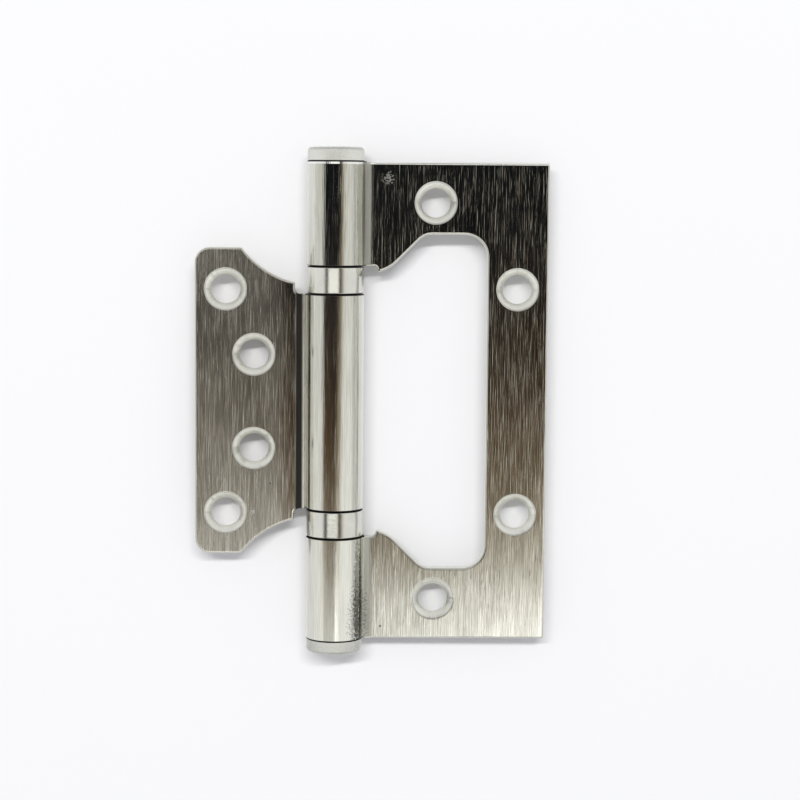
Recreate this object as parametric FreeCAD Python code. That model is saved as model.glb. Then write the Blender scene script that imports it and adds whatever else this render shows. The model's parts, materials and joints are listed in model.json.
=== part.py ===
"""Flush door hinge: two leaves of steel sheet on one pin, with a ball bearing between the knuckles.

Millimetres. Y runs along the pin, X points to the large outer leaf, and Z points out of the
faces that the screw heads sink into. The origin is on the pin's axis at half its length. Both
leaves lie open in one plane, and their middle surfaces pass through the pin's axis, so the small
inner leaf folds up over Z and into the window of the outer leaf.
"""
import FreeCAD, Part
import math
import os

# Sheet and rolled knuckles
sheet = 2.5
bend_radius = 3.8
seam_gap = 0.15
front_edge_round = 0.5
back_edge_round = 0.25
notch_round = 1.1

# Pin
pin_dia = 7.0
pin_running_clearance = 0.05
pin_grip_clearance = 0.01
pin_end_chamfer = 0.5

# Outer leaf
leaf_height = 101.6
outer_reach = 45.0
outer_knuckle = 21.9
arm_width = 15.25
rail_width = 12.9
window_corner_round = 4.9
window_ramp_angle = 45.0
window_ramp_round = 4.0
outer_lip_past_bend = 0.44
outer_lip_length = 1.35
outer_lip_angle = 12.0
outer_lip_radius = 8.3

# Inner leaf
window_side_clearance = 2.95
window_end_clearance = 2.4
inner_corner_round = 3.2
inner_shoulder_reach = 19.9
inner_shoulder_round = 0.6
inner_hollow_radius = 20.0
inner_lip_past_bend = 0.14
inner_lip_length = 2.4

# Screw holes: the far ones from the leaf's free edge, the near ones from the pin's axis
screw_hole_dia = 6.2
screw_head_dia = 9.0
screw_head_angle = 90.0
far_hole_edge_distance = 6.5
outer_far_hole_spacing = 48.1
outer_near_hole_reach = 21.1
outer_near_hole_edge_distance = 8.6
inner_far_hole_edge_distance = 8.8
inner_near_hole_reach = 17.2
inner_near_hole_spacing = 20.0

# Tips
tip_step = 0.1
tip_height = 2.95
tip_edge_round = 0.8
tip_seat_round = 0.15
tip_spigot = 4.0
tip_end_clearance = 0.2

# Bearings
bearing_length = 6.05
case_step = 0.05
case_wall = 0.45
case_end_gap = 0.2
case_edge_round = 0.3
race_clearance = 0.08
ball_dia = 1.2
ball_count = 12
ball_clearance = 0.02
ball_groove_depth = 0.15
cage_thickness = 0.6
cage_clearance = 0.15
cage_pocket_clearance = 0.04

# Worked out across the pin
half_sheet = sheet / 2
pin_radius = pin_dia / 2
bore_radius = pin_radius + pin_running_clearance
grip_radius = bore_radius - pin_grip_clearance
knuckle_radius = bore_radius + sheet
roll_line = bore_radius + half_sheet
bend_line = bend_radius + half_sheet
between_centres = roll_line + bend_line
bend_x = math.sqrt(between_centres ** 2 - bend_line ** 2)
window_reach = outer_reach - rail_width
inner_reach = window_reach - window_end_clearance

# Worked out along the pin
half_leaf = leaf_height / 2
outer_knuckle_start = half_leaf - outer_knuckle
half_middle = outer_knuckle_start - bearing_length
bearing_middle = half_middle + bearing_length / 2
half_window = half_leaf - arm_width
half_inner = half_window - window_side_clearance
pin_end = half_leaf - tip_spigot - tip_end_clearance

# Worked out in the bearings
case_radius = knuckle_radius - case_step
case_bore_radius = case_radius - case_wall
race_inner_radius = pin_radius + race_clearance
race_outer_radius = case_bore_radius - race_clearance
ball_circle_radius = (race_inner_radius + race_outer_radius) / 2
groove_radius = ball_dia / 2 + ball_clearance
race_face = groove_radius - ball_groove_depth

V = FreeCAD.Vector
ORIGIN = V(0, 0, 0)
TO_OUTER_LEAF = V(1, 0, 0)
ALONG_PIN = V(0, 1, 0)
TO_FRONT = V(0, 0, 1)
same_place = 1e-4
most_of_a_wall = 0.9


def line(start, end):
    """Straight edge between two points."""
    return Part.LineSegment(start, end).toShape()


def arc(start, middle, end):
    """Circular edge through three points."""
    return Part.Arc(start, middle, end).toShape()


def at_angle(centre, radius, degrees):
    """Point in the XY plane at an angle round a centre."""
    turn = math.radians(degrees)
    return centre + V(radius * math.cos(turn), radius * math.sin(turn), 0)


def across(centre, radius, turn):
    """Point in the XZ plane at an angle, in radians, from +X towards +Z."""
    return centre + V(radius * math.cos(turn), 0, radius * math.sin(turn))


def bent_bar(reach):
    """Endless leaf: flat sheet, bent to the back and rolled round the pin until it nears itself."""
    bend_centre = V(bend_x, 0, -bend_line)
    meet = math.atan2(-bend_line, bend_x)
    bend_middle = (math.pi / 2 + math.pi + meet) / 2
    bend_front = bend_radius + sheet
    reach_of_seam = bend_front + seam_gap
    seam_cosine = (knuckle_radius ** 2 + between_centres ** 2 - reach_of_seam ** 2) / (
        2 * knuckle_radius * between_centres
    )
    seam = meet + math.acos(seam_cosine)
    far_side = (meet + seam) / 2 + math.pi
    flat_back = V(bend_x, 0, -half_sheet)
    flat_front = V(bend_x, 0, half_sheet)
    outside_meet = across(ORIGIN, knuckle_radius, meet)
    outside_seam = across(ORIGIN, knuckle_radius, seam)
    bore_seam = across(ORIGIN, bore_radius, seam)
    bore_meet = across(ORIGIN, bore_radius, meet)
    section = Part.Wire([
        line(V(reach, 0, -half_sheet), flat_back),
        arc(flat_back, across(bend_centre, bend_radius, bend_middle), outside_meet),
        arc(outside_meet, across(ORIGIN, knuckle_radius, far_side), outside_seam),
        line(outside_seam, bore_seam),
        arc(bore_seam, across(ORIGIN, bore_radius, far_side), bore_meet),
        arc(bore_meet, across(bend_centre, bend_front, bend_middle), flat_front),
        line(flat_front, V(reach, 0, half_sheet)),
        line(V(reach, 0, half_sheet), V(reach, 0, -half_sheet)),
    ])
    return Part.Face(section).translated(ALONG_PIN * -leaf_height).extrude(ALONG_PIN * 2 * leaf_height)


def fitting_round(wanted, wall):
    """Corner radius, limited where the wall beside the corner is too short for it."""
    return min(wanted, most_of_a_wall * wall)


def cutter(upper_half, corners):
    """Upright block with a leaf's outline, its named (x, y, radius) corners rounded."""
    depth = 2 * knuckle_radius
    lower_half = [edge.mirror(ORIGIN, ALONG_PIN) for edge in upper_half]
    outline = Part.Face(Part.Wire(Part.__sortEdges__(upper_half + lower_half)))
    block = outline.translated(TO_FRONT * -depth).extrude(TO_FRONT * 2 * depth)
    for x, y, radius in corners:
        upright = [
            edge
            for edge in block.Edges
            if abs(edge.CenterOfMass.x - x) < same_place and abs(abs(edge.CenterOfMass.y) - y) < same_place
        ]
        block = block.makeFillet(radius, upright)
    return block


def outer_cutter():
    """Outline of the outer leaf: a frame round the window, with an arm to each knuckle."""
    lip_reach = bend_x + outer_lip_past_bend
    lip_tip = V(lip_reach, outer_knuckle_start - outer_lip_length, 0)
    lip_centre = at_angle(lip_tip, outer_lip_radius, outer_lip_angle + 90)
    lip_middle = at_angle(lip_centre, outer_lip_radius, (outer_lip_angle + window_ramp_angle) / 2 - 90)
    lip_foot = at_angle(lip_centre, outer_lip_radius, window_ramp_angle - 90)
    ramp_run = (half_window - lip_foot.y) / math.tan(math.radians(window_ramp_angle))
    ramp_top = V(lip_foot.x + ramp_run, half_window, 0)
    ramp_round_end = ramp_top.x + window_ramp_round * math.tan(math.radians(window_ramp_angle / 2))
    corner_round = fitting_round(window_corner_round, window_reach - ramp_round_end)
    window_corner = V(window_reach, half_window, 0)
    notch = V(lip_reach, outer_knuckle_start, 0)
    past_roll = -2 * knuckle_radius
    edges = [
        line(V(outer_reach, 0, 0), V(outer_reach, half_leaf, 0)),
        line(V(outer_reach, half_leaf, 0), V(past_roll, half_leaf, 0)),
        line(V(past_roll, half_leaf, 0), V(past_roll, outer_knuckle_start, 0)),
        line(V(past_roll, outer_knuckle_start, 0), notch),
        line(notch, lip_tip),
        arc(lip_tip, lip_middle, lip_foot),
        line(lip_foot, ramp_top),
        line(ramp_top, window_corner),
        line(window_corner, V(window_reach, 0, 0)),
    ]
    corners = [
        (notch.x, notch.y, notch_round),
        (ramp_top.x, ramp_top.y, window_ramp_round),
        (window_corner.x, window_corner.y, corner_round),
    ]
    return cutter(edges, corners)


def inner_cutter():
    """Outline of the inner leaf: a plate with hollowed shoulders, narrower at its knuckle."""
    lip_reach = bend_x + inner_lip_past_bend
    notch = V(lip_reach, half_middle, 0)
    lip_tip = V(lip_reach, half_middle + inner_lip_length, 0)
    shoulder = V(inner_shoulder_reach, half_inner, 0)
    chord = shoulder - lip_tip
    sag = inner_hollow_radius - math.sqrt(inner_hollow_radius ** 2 - chord.Length ** 2 / 4)
    inward = V(chord.y, -chord.x, 0).normalize()
    hollow_middle = (lip_tip + shoulder) * 0.5 + inward * sag
    corner = V(inner_reach, half_inner, 0)
    corner_round = fitting_round(inner_corner_round, inner_reach - inner_shoulder_reach - inner_shoulder_round)
    past_roll = -2 * knuckle_radius
    edges = [
        line(V(past_roll, 0, 0), V(past_roll, half_middle, 0)),
        line(V(past_roll, half_middle, 0), notch),
        line(notch, lip_tip),
        arc(lip_tip, hollow_middle, shoulder),
        line(shoulder, corner),
        line(corner, V(inner_reach, 0, 0)),
    ]
    corners = [
        (notch.x, notch.y, notch_round),
        (shoulder.x, shoulder.y, inner_shoulder_round),
        (corner.x, corner.y, corner_round),
    ]
    return cutter(edges, corners)


def face_rim(leaf, height):
    """Edges round a leaf's flat face, apart from the lines where the sheet bends away."""
    flats = [
        face
        for face in leaf.Faces
        if isinstance(face.Surface, Part.Plane) and abs(face.CenterOfMass.z - height) < same_place
    ]
    return [edge for face in flats for edge in face.Edges if edge.BoundBox.XMax > bend_x + same_place]


def screw_hole(x, y):
    """Cutter for one countersunk hole, wider than its head above the front face."""
    hole = screw_hole_dia / 2
    head = screw_head_dia / 2
    sink_depth = (head - hole) / math.tan(math.radians(screw_head_angle / 2))
    corners = [
        V(0, 0, -sheet),
        V(hole, 0, -sheet),
        V(hole, 0, half_sheet - sink_depth),
        V(head, 0, half_sheet),
        V(head, 0, sheet),
        V(0, 0, sheet),
        V(0, 0, -sheet),
    ]
    tool = Part.Face(Part.makePolygon(corners)).revolve(ORIGIN, TO_FRONT, 360)
    return tool.translated(V(x, y, 0))


def leaf(reach, outline, holes):
    """Leaf towards +X: cut from the bent bar, its edges rounded, its screw holes sunk."""
    solid = bent_bar(reach + sheet).common(outline)
    solid = solid.makeFillet(front_edge_round, face_rim(solid, half_sheet))
    solid = solid.makeFillet(back_edge_round, face_rim(solid, -half_sheet))
    for x, y in holes:
        solid = solid.cut(screw_hole(x, y)).cut(screw_hole(x, -y))
    return solid


def turned(profile):
    """Solid turned about the pin's axis from its (radius, height along the pin) corners."""
    corners = [V(radius, height, 0) for radius, height in profile]
    return Part.Face(Part.makePolygon(corners + corners[:1])).revolve(ORIGIN, ALONG_PIN, 360)


def ring(inner, outer, bottom, top):
    """Plain ring round the pin."""
    return turned([(inner, bottom), (outer, bottom), (outer, top), (inner, top)])


def round_rim(solid, edge_round, radius, height):
    """Round the circular edge that has this radius at this height along the pin."""
    rim = [
        edge
        for edge in solid.Edges
        if isinstance(edge.Curve, Part.Circle)
        and abs(edge.Curve.Radius - radius) < same_place
        and abs(edge.Curve.Center.y - height) < same_place
    ]
    return solid.makeFillet(edge_round, rim)


def hinge_pin():
    """Straight pin, a hair thicker where the outer knuckles grip it, its ends chamfered."""
    upper = [
        (pin_radius, outer_knuckle_start),
        (grip_radius, outer_knuckle_start),
        (grip_radius, pin_end - pin_end_chamfer),
        (grip_radius - pin_end_chamfer, pin_end),
        (0, pin_end),
    ]
    lower = [(radius, -height) for radius, height in reversed(upper)]
    return turned(upper + lower)


def tip():
    """Button on the top of the barrel: a domed disc with a spigot pressed into the knuckle."""
    radius = knuckle_radius - tip_step
    end = half_leaf + tip_height
    foot = half_leaf - tip_spigot
    disc = turned([
        (0, foot),
        (grip_radius - tip_seat_round, foot),
        (grip_radius, foot + tip_seat_round),
        (grip_radius, half_leaf),
        (radius, half_leaf),
        (radius, end),
        (0, end),
    ])
    disc = round_rim(disc, tip_seat_round, radius, half_leaf)
    return round_rim(disc, tip_edge_round, radius, end)


def bearing_case():
    """Bright sleeve that closes the bearing, just short of both knuckles."""
    bottom = half_middle + case_end_gap
    top = outer_knuckle_start - case_end_gap
    sleeve = ring(case_bore_radius, case_radius, bottom, top)
    sleeve = round_rim(sleeve, case_edge_round, case_radius, bottom)
    return round_rim(sleeve, case_edge_round, case_radius, top)


def race(bottom, top):
    """Thick washer with a round groove that the balls run in."""
    washer = ring(race_inner_radius, race_outer_radius, bottom, top)
    return washer.cut(Part.makeTorus(ball_circle_radius, groove_radius, V(0, bearing_middle, 0), ALONG_PIN))


def ball_places():
    """Centres of the balls, evenly round the pin."""
    turns = [2 * math.pi * number / ball_count for number in range(ball_count)]
    return [across(V(0, bearing_middle, 0), ball_circle_radius, turn) for turn in turns]


def ball_cage():
    """Flat ring that holds the balls apart, with a round pocket for each."""
    bottom = bearing_middle - cage_thickness / 2
    cage = ring(
        pin_radius + cage_clearance,
        case_bore_radius - cage_clearance,
        bottom,
        bottom + cage_thickness,
    )
    pocket_radius = ball_dia / 2 + cage_pocket_clearance
    for place in ball_places():
        foot = place - ALONG_PIN * cage_thickness
        cage = cage.cut(Part.makeCylinder(pocket_radius, 2 * cage_thickness, foot, ALONG_PIN))
    return cage


def bearing_pieces():
    """Every piece of the bearing above the middle knuckle, by its name within the bearing."""
    pieces = {
        "bearing_case": bearing_case(),
        "bearing_top_race": race(bearing_middle + race_face, outer_knuckle_start),
        "bearing_bottom_race": race(half_middle, bearing_middle - race_face),
        "ball_cage": ball_cage(),
    }
    for number, place in enumerate(ball_places(), start=1):
        pieces[f"ball_{number}"] = Part.makeSphere(ball_dia / 2, place, ALONG_PIN)
    return pieces


def write(node, shape):
    """Save one piece under its node's name."""
    shape.exportStep(f"parts/{node}.step")


outer_holes = [
    (outer_reach - far_hole_edge_distance, outer_far_hole_spacing / 2),
    (outer_near_hole_reach, half_leaf - outer_near_hole_edge_distance),
]
inner_holes = [
    (inner_reach - far_hole_edge_distance, half_inner - inner_far_hole_edge_distance),
    (inner_near_hole_reach, inner_near_hole_spacing / 2),
]

os.makedirs("parts", exist_ok=True)
write("outer_leaf", leaf(outer_reach, outer_cutter(), outer_holes))
write("inner_leaf", leaf(inner_reach, inner_cutter(), inner_holes).mirror(ORIGIN, TO_OUTER_LEAF))
write("hinge_pin", hinge_pin())
write("top_tip", tip())
write("bottom_tip", tip().mirror(ORIGIN, ALONG_PIN))
mirrored_names = {"bearing_top_race": "bearing_bottom_race", "bearing_bottom_race": "bearing_top_race"}
for name, piece in bearing_pieces().items():
    write(f"upper_{name}", piece)
    write(f"lower_{mirrored_names.get(name, name)}", piece.mirror(ORIGIN, ALONG_PIN))
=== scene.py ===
"""The looks of a flush door hinge, made over its packed construction.

Metres, in the construction's own frame: Y runs along the pin, X points to the large outer leaf,
and Z points out of the faces that the screw heads sink into. Each leaf is made the way the real
one is: a flat blank is cut out, its rims are rounded, its screw holes are sunk, and it is then
bent to the back and rolled round the pin. The steel is brushed along the pin, the tips and the
bearing cases are turned. The hinge lies on a pale table under a soft lamp, in a pale room with a
dark patch overhead that the steel mirrors.
"""
import json
import logging
import math
from dataclasses import dataclass
from enum import Enum
from typing import Any

import bmesh
import bpy
from mathutils import Matrix, Vector

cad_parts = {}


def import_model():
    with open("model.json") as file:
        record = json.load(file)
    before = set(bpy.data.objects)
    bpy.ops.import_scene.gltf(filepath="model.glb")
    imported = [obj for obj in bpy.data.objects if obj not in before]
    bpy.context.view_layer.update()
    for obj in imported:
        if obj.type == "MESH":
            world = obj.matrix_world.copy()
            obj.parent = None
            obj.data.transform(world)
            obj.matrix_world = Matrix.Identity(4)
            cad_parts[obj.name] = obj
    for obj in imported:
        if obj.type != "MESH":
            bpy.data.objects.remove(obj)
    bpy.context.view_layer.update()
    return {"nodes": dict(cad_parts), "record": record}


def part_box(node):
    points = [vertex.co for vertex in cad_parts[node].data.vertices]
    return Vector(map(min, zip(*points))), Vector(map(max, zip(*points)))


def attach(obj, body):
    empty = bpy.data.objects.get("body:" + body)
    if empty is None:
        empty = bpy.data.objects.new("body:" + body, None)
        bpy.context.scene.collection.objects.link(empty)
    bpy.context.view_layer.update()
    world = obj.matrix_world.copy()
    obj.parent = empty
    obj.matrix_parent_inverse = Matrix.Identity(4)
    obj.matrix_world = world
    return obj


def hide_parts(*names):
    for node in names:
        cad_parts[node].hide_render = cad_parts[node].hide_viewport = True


MM = 0.001
PICTURE_WIDTH = 800
SENSOR_WIDTH = 36.0
SMOOTH_BELOW = math.radians(35)
SAME_PLACE = 1e-8

log = logging.getLogger("flush_hinge")
Colour = tuple[float, float, float]
Profile = list[tuple[float, float]]


class Side(Enum):
    """The way that a leaf or a bearing lies from the hinge's middle."""

    PLUS = 1
    MINUS = -1


class Term:
    """A number on a node's output. Python's operators on it add Math nodes to its tree."""

    def __init__(self, graph: "Graph", socket: bpy.types.NodeSocket) -> None:
        """Wrap one output socket of a graph."""
        self.graph = graph
        self.socket = socket

    def maths(self, operation: str, *values: Any) -> "Term":
        """Result of one Math node.

        Args:
            operation: The Math node's operation.
            values: Its inputs, as terms or numbers.

        Returns:
            The node's output.
        """
        return self.graph.term("ShaderNodeMath", {"operation": operation}, dict(enumerate(values)))

    def __add__(self, other: Any) -> "Term":
        """Sum with a term or number."""
        return self.maths("ADD", self, other)

    def __radd__(self, other: Any) -> "Term":
        """Sum with a number on the left."""
        return self.maths("ADD", other, self)

    def __sub__(self, other: Any) -> "Term":
        """Difference from a term or number."""
        return self.maths("SUBTRACT", self, other)

    def __rsub__(self, other: Any) -> "Term":
        """Difference, with a number on the left."""
        return self.maths("SUBTRACT", other, self)

    def __mul__(self, other: Any) -> "Term":
        """Product with a term or number."""
        return self.maths("MULTIPLY", self, other)

    def __rmul__(self, other: Any) -> "Term":
        """Product with a number on the left."""
        return self.maths("MULTIPLY", other, self)

    def __truediv__(self, other: Any) -> "Term":
        """Quotient by a term or number."""
        return self.maths("DIVIDE", self, other)

    def __gt__(self, other: Any) -> "Term":
        """One where this is greater, else nought."""
        return self.maths("GREATER_THAN", self, other)

    def ramp(self, low: float, high: float) -> "Term":
        """Soft step.

        Args:
            low: Value at and below which the step is nought.
            high: Value at and above which it is one.

        Returns:
            The step, as a term.
        """
        settings = {"interpolation_type": "SMOOTHSTEP"}
        return self.graph.term("ShaderNodeMapRange", settings, {0: self, 1: low, 2: high})

    def between(self, low: float, high: float, soft: float) -> "Term":
        """Soft window.

        Args:
            low: Where the window opens.
            high: Where it closes.
            soft: Half the width of each soft edge.

        Returns:
            One inside, nought outside, as a term.
        """
        return self.ramp(low - soft, low + soft) * (1 - self.ramp(high - soft, high + soft))


class Graph:
    """A node tree of a material, the world or a shape, and the one way that nodes are added."""

    def __init__(self, tree: bpy.types.NodeTree) -> None:
        """Start on an empty tree."""
        self.tree = tree
        tree.nodes.clear()

    def node(self, kind: str, settings: dict[str, Any] | None = None,
             inputs: dict[Any, Any] | None = None) -> bpy.types.Node:
        """Add a node.

        Args:
            kind: The node's type.
            settings: Its own settings, set first. The stops of a ramp are (place, colour) pairs.
            inputs: Values or links of its sockets, by name or number. A list links each of its items.

        Returns:
            The new node.
        """
        made = self.tree.nodes.new(kind)
        for name, value in (settings or {}).items():
            if name == "stops":
                self.set_stops(made.color_ramp, value)
            else:
                setattr(made, name, value)
        for key, value in (inputs or {}).items():
            for item in value if isinstance(value, list) else [value]:
                item = item.socket if isinstance(item, Term) else item
                if isinstance(item, bpy.types.NodeSocket):
                    self.tree.links.new(item, made.inputs[key])
                else:
                    made.inputs[key].default_value = item
        return made

    def term(self, kind: str, settings: dict[str, Any] | None = None,
             inputs: dict[Any, Any] | None = None, output: Any = 0) -> Term:
        """Add a node and take one of its outputs.

        Args:
            kind: The node's type.
            settings: Its own settings.
            inputs: Values or links of its sockets.
            output: Name or number of the output wanted.

        Returns:
            That output, as a term.
        """
        return Term(self, self.node(kind, settings, inputs).outputs[output])

    @staticmethod
    def set_stops(ramp: bpy.types.ColorRamp, stops: list[tuple[float, Colour]]) -> None:
        """Give a colour ramp its stops.

        Args:
            ramp: The ramp to set.
            stops: Place and colour of each stop, from low to high.
        """
        for index, (place, colour) in enumerate(stops):
            stop = ramp.elements[index] if index < 2 else ramp.elements.new(place)
            stop.position = place
            stop.color = (*colour, 1)

    def split(self, vector: Any) -> list[Term]:
        """The three parts of a vector, as terms."""
        parts = self.node("ShaderNodeSeparateXYZ", inputs={0: vector})
        return [Term(self, output) for output in parts.outputs]

    def join(self, x: Any, y: Any, z: Any) -> Term:
        """A vector from its three parts."""
        return self.term("ShaderNodeCombineXYZ", inputs={0: x, 1: y, 2: z})

    def mix(self, factor: Any, first: Any, second: Any, blend: str = "MIX") -> Term:
        """Mix two colours.

        Args:
            factor: Share of the second colour.
            first: The first colour, or its socket.
            second: The second colour, or its socket.
            blend: The way that they blend.

        Returns:
            The mixed colour.
        """
        colours = [(*item, 1) if isinstance(item, tuple) else item for item in (first, second)]
        settings = {"data_type": "RGBA", "blend_type": blend}
        inputs = {0: factor, 6: colours[0], 7: colours[1]}
        return self.term("ShaderNodeMix", settings, inputs, 2)

    def noise(self, place: Term, cells: Colour, detail: float = 2.0) -> Term:
        """Soft noise with its own fineness along each axis.

        Args:
            place: Coordinates to read.
            cells: Cells of noise in each metre along X, Y and Z.
            detail: How many finer layers lie on the first.

        Returns:
            The noise, about one half.
        """
        scaled = self.term("ShaderNodeMapping", inputs={0: place, "Scale": cells})
        return self.term("ShaderNodeTexNoise", inputs={0: scaled, "Scale": 1.0, "Detail": detail})


@dataclass(frozen=True)
class Mark:
    """A small blemish on the steel, or a streak of painted shade: its middle, half width and half length, strength and
    fray.
    """

    x: float
    y: float
    half_width: float
    half_length: float
    strength: float
    fray: float = 1.5

    def mask(self, graph: Graph, place: Term, ragged: Term) -> Term:
        """Where the mark is.

        Args:
            graph: The material's graph.
            place: Object coordinates.
            ragged: Noise that frays the mark's rim.

        Returns:
            The mark's strength there.
        """
        x, y, z = graph.split(place)
        across = (x - self.x) / self.half_width
        along = (y - self.y) / self.half_length
        spread = across * across + along * along + (ragged - 0.5) * self.fray
        return (1 - spread.ramp(0.3, 1.1)) * z.ramp(-0.5 * MM, 1.2 * MM) * self.strength


@dataclass(frozen=True)
class Joints:
    """Painted shade in the joints across the barrel, at these distances from the hinge's middle."""

    places: tuple[float, ...]
    half_width: float = 0.17 * MM
    reach: float = 6.3 * MM

    def mask(self, graph: Graph, place: Term) -> Term:
        """Where the painted joint shade is.

        Args:
            graph: The material's graph.
            place: Object coordinates.

        Returns:
            One in the joints, nought away from them.
        """
        x, y, z = graph.split(place)
        height = y.maths("ABSOLUTE", y)
        near = sum(height.between(spot - self.half_width, spot + self.half_width, 0.05 * MM)
                   for spot in self.places)
        across = x.maths("ABSOLUTE", x)
        return near * (1 - across.ramp(self.reach, self.reach + 0.2 * MM))


@dataclass(frozen=True)
class BrushedSteel:
    """Steel sheet with straight grain along the pin, rougher where it was bent."""

    name: str
    tone: Colour
    shade: Colour
    half_sheet: float
    joints: Joints
    flat_roughness: float
    flat_from: float = 14 * MM
    rolled_tone: Colour = (0.82, 0.82, 0.75)
    rolled_shade: Colour = (0.71, 0.7, 0.63)
    rolled_roughness: float = 0.1
    rolled_relief: float = 0.5
    bent_roughness: float = 0.42
    bend_highlight_tone: Colour = (1.0, 1.0, 0.92)
    crease_shade: float = 0.0
    crease_from: float = 6.9 * MM
    crease_to: float = 8.4 * MM
    top_highlight_from: float = 1.0
    top_highlight_lean: float = math.radians(14)
    rise: float = 0.0
    sunk_roughness: float = 0.3
    bent_from: float = 5.8 * MM
    bent_to: float = 7.5 * MM
    bent_end: float = 7.5 * MM
    sunk_relief: float = 0.08
    grain_width: float = 0.16 * MM
    grain_length: float = 7 * MM
    grain_depth: float = 0.01 * MM
    stroke_width: float = 0.24 * MM
    stroke_length: float = 7 * MM
    stroke_depth: float = 0.016 * MM
    stroke_roughness: float = 0.09
    bright_marks: tuple[Mark, ...] = ()
    dark_specks_and_shade: tuple[Mark, ...] = ()

    def material(self) -> bpy.types.Material:
        """Make the material."""
        made = bpy.data.materials.new(self.name)
        made.use_nodes = True
        graph = Graph(made.node_tree)
        place = graph.term("ShaderNodeTexCoord", output="Object")
        fine, long = 1 / self.grain_width, 1 / self.grain_length
        wide, brief = 1 / self.stroke_width, 1 / self.stroke_length
        grain = graph.noise(place, (fine, long, fine), 3)
        strokes = graph.noise(place, (wide, brief, wide), 2)
        bands = graph.noise(place, (fine / 9, long / 2, fine / 9), 2)
        cloud = graph.noise(place, (90, 60, 90), 3)
        ragged = graph.noise(place, (2500, 2500, 2500), 2)
        stroke = strokes.ramp(0.5, 0.74)
        bright = self.sum_of(self.bright_marks, graph, place, ragged)
        # Dark specks, and streaks of painted shade where a leaf lists them.
        dark = self.sum_of(self.dark_specks_and_shade, graph, place, ragged)
        painted_shade = self.joints.mask(graph, place)
        reach, height, lift = graph.split(place)
        away = reach.maths("ABSOLUTE", reach)
        past_bend = away.ramp(self.bent_to - 0.3 * MM, self.bent_to + 0.5 * MM)
        bent = away.between(self.bent_from, self.bent_end, 0.4 * MM) * (lift > 0)
        deep = lift.maths("ABSOLUTE", lift)
        sunk = past_bend * (1 - (deep > self.half_sheet - 0.03 * MM))
        # Painted shade: a dark band along the inner leaf's crease stands for the darkness that its bend mirrors. It
        # joins the painted joint shade.
        crease = away.between(self.crease_from, self.crease_to, 0.3 * MM) * self.crease_shade
        painted_shade = painted_shade.maths("MAXIMUM", painted_shade, crease)
        # Painted reflection: a thin dark brown line just inside the faces, on the rounded rims and the tops of the
        # countersinks, stands for dark things mirrored there.
        rim = deep.between(self.half_sheet - 0.25 * MM, self.half_sheet - 0.05 * MM, 0.03 * MM)
        rim = rim * past_bend * 0.5
        # Painted highlight: a near-white band along the outer leaf's top edge. Its bump also leans towards the top, so
        # that it mirrors the light.
        top_highlight = height - self.top_highlight_from
        top_highlight = top_highlight.maths("MAXIMUM", top_highlight, 0.0)
        share = (grain * 0.8 + bands * 0.25 + cloud * 0.3 - 0.175).ramp(0.34, 0.66)
        rolled = graph.mix(share, self.rolled_shade, self.rolled_tone)
        colour = graph.mix(past_bend, rolled, graph.mix(share, self.shade, self.tone))
        # Partly painted highlight: the bent strip is rougher, and its colour is also painted brighter to stand for the
        # highlight along the bend.
        colour = graph.mix(bent, colour, self.bend_highlight_tone)
        colour = graph.mix(sunk, colour, (0.93, 0.93, 0.86))
        colour = graph.mix(rim, colour, (0.3, 0.28, 0.24))
        colour = graph.mix(top_highlight > 0, colour, (1.0, 1.0, 0.97))
        colour = graph.mix(bright, colour, (0.8, 0.8, 0.78))
        colour = graph.mix(dark, colour, (0.05, 0.045, 0.04))
        # Painted shade: the joints, and the crease where one is set, go near black.
        colour = graph.mix(painted_shade, colour, (0.02, 0.018, 0.016))
        flat = away.ramp(self.bent_to, self.flat_from)
        roughness = flat * (self.flat_roughness - self.rolled_roughness) + self.rolled_roughness
        roughness = roughness + bent * (self.bent_roughness - self.rolled_roughness)
        roughness = roughness + flat * height * height * self.rise
        roughness = roughness.maths("MAXIMUM", roughness, sunk * self.sunk_roughness)
        roughness = roughness + grain.ramp(0.5, 0.72) * self.stroke_roughness + (cloud - 0.5) * 0.05
        roughness = roughness + (bright + dark + painted_shade) * 0.3
        relief = grain * self.grain_depth + stroke * self.stroke_depth
        relief = relief * (past_bend * (1 - self.rolled_relief) + self.rolled_relief)
        relief = relief * (height * 6.2 + 0.85)
        relief = relief * (1 - sunk * (1 - self.sunk_relief)) - top_highlight * math.tan(self.top_highlight_lean)
        bump = graph.term("ShaderNodeBump", inputs={"Strength": 1.0, "Distance": 1.0, "Height": relief})
        steel = graph.node("ShaderNodeBsdfPrincipled", inputs={
            "Base Color": colour,
            "Metallic": 1.0,
            "Roughness": roughness,
            "Normal": bump,
        })
        graph.node("ShaderNodeOutputMaterial", inputs={0: steel.outputs[0]})
        return made

    @staticmethod
    def sum_of(marks: tuple[Mark, ...], graph: Graph, place: Term, ragged: Term) -> Any:
        """All the marks of one kind together.

        Args:
            marks: The marks.
            graph: The material's graph.
            place: Object coordinates.
            ragged: Noise that frays the rims.

        Returns:
            Their masks added up, or nought where there are none.
        """
        return sum((mark.mask(graph, place, ragged) for mark in marks), 0.0)


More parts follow.
